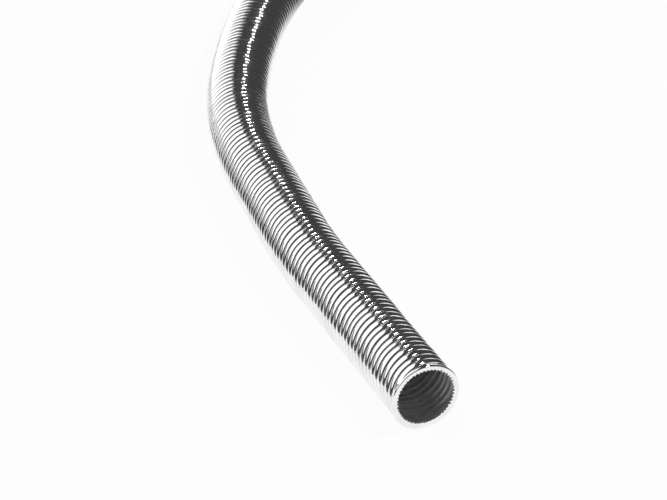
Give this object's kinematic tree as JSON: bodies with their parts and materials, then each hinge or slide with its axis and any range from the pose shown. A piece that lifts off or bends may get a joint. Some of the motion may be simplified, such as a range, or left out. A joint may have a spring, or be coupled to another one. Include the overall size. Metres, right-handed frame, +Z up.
{
  "type": "flexible air duct",
  "caption": "Length of semi-rigid corrugated aluminium duct, spiral-wound in bonded plies, cut square at both ends and bent in a shallow curve to carry air between spigots.",
  "frame": {"origin": "centre of the near mouth, on the duct's axis and in the plane of its cut edge", "axes": "+Y along the axis into the duct from the near mouth, +X towards the side that the duct bends to, +Z up from the surface that it lies on"},
  "size_m": [0.3597, 0.9341, 0.0678],
  "materials": {
    "outer_foil": "bright rolled foil, corrugated and slightly creased",
    "kraft_paper": "uncoated brown kraft paper, seen only at the cut edges",
    "inner_foil": "satin rolled foil, corrugated"
  },
  "bodies": {
    "root": {"outer_foil": "outer_foil", "paper_core": "kraft_paper", "inner_foil": "inner_foil"}
  },
  "joints": []
}
